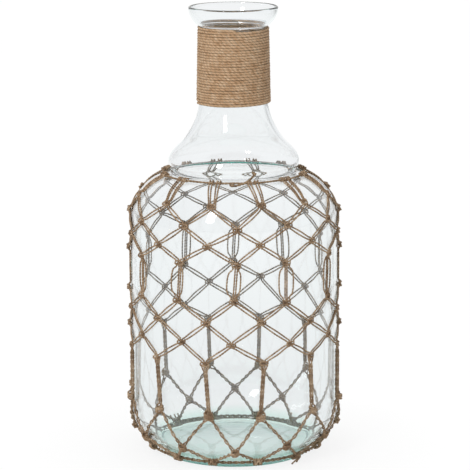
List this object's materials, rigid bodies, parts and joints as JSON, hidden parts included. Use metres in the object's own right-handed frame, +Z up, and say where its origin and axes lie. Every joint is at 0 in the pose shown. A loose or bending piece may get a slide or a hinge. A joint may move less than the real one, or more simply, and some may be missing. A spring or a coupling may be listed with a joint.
{
  "type": "bottle vase",
  "caption": "Glass bottle vase with a flared lip, a twine-wound neck and a bell above a round shoulder, its body held in a knotted net of doubled jute cords between two ring cords.",
  "frame": {"origin": "on the bottle's axis, at the table under its foot", "axes": "+Z up along the bottle's axis; -Y is the front, where the top ring's tied ends lie a little to the right"},
  "size_m": [0.2024, 0.2024, 0.42],
  "materials": {
    "glass": "smooth blown recycled glass, faintly green where it is thick",
    "neck_twine": "matt two-ply jute twine, wound close",
    "ring_twine": "matt jute cord",
    "net_twine": "matt two-ply jute twine, knotted"
  },
  "bodies": {
    "root": {"glass_bottle": "glass", "neck_winding": "neck_twine", "top_ring_cord": "ring_twine", "bottom_ring_cord": "ring_twine", "net_cord_01": "net_twine", "net_cord_02": "net_twine", "net_cord_03": "net_twine", "net_cord_04": "net_twine", "net_cord_05": "net_twine", "net_cord_06": "net_twine", "net_cord_07": "net_twine", "net_cord_08": "net_twine", "net_cord_09": "net_twine", "net_cord_10": "net_twine", "net_cord_11": "net_twine", "net_cord_12": "net_twine", "net_cord_13": "net_twine", "net_cord_14": "net_twine", "net_cord_15": "net_twine", "net_cord_16": "net_twine", "net_cord_17": "net_twine", "net_cord_18": "net_twine", "net_cord_19": "net_twine", "net_cord_20": "net_twine", "net_cord_21": "net_twine", "net_cord_22": "net_twine", "net_cord_23": "net_twine", "net_cord_24": "net_twine"}
  },
  "joints": []
}
